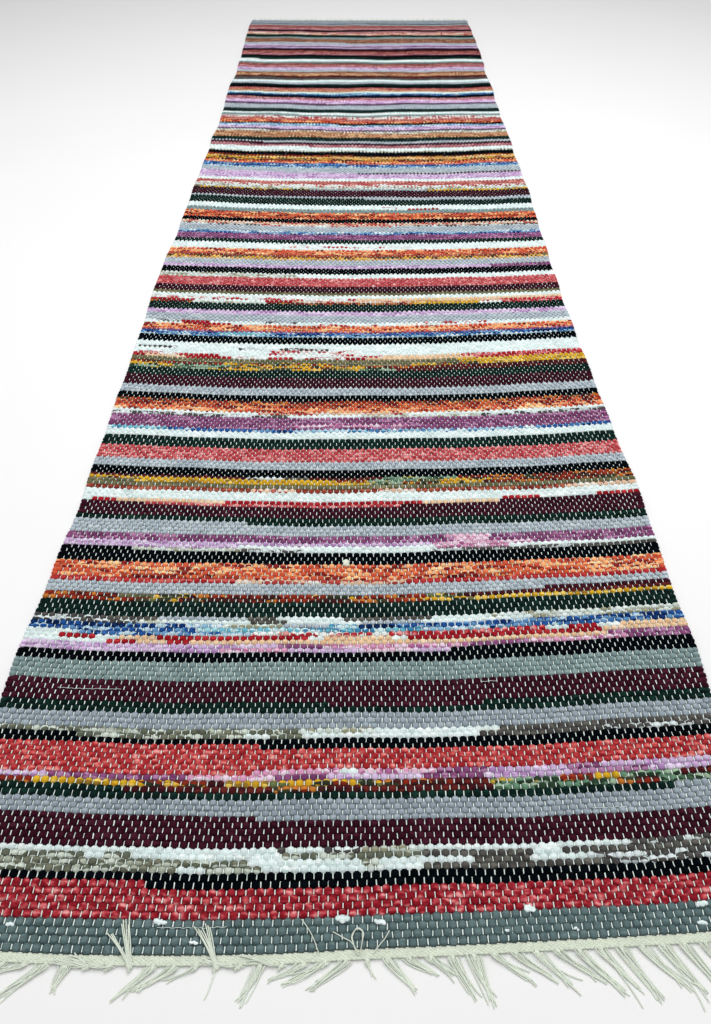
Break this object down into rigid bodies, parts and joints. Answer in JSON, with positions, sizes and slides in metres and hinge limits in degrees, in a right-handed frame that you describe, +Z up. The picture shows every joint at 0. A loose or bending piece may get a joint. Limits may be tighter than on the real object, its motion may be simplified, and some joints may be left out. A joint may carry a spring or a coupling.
{
  "type": "rag-woven runner rug",
  "caption": "Flat rag-woven runner rug in many-coloured cross stripes, with a narrow cream heading and a knotted warp fringe at each end.",
  "frame": {"origin": "on the floor, under the middle of the striped field", "axes": "+X across the rug to the right as seen from the near end, +Y along it to the far end, +Z up"},
  "size_m": [0.7793, 3.0308, 0.0083],
  "materials": {
    "rag_cloth": "matt woven cotton rag in stripes of many colours",
    "warp_cotton": "matt cream cotton yarn"
  },
  "bodies": {
    "root": {"rag_field": "rag_cloth", "heading_near": "warp_cotton", "heading_far": "warp_cotton", "fringe_near": "warp_cotton", "fringe_far": "warp_cotton"}
  },
  "joints": []
}
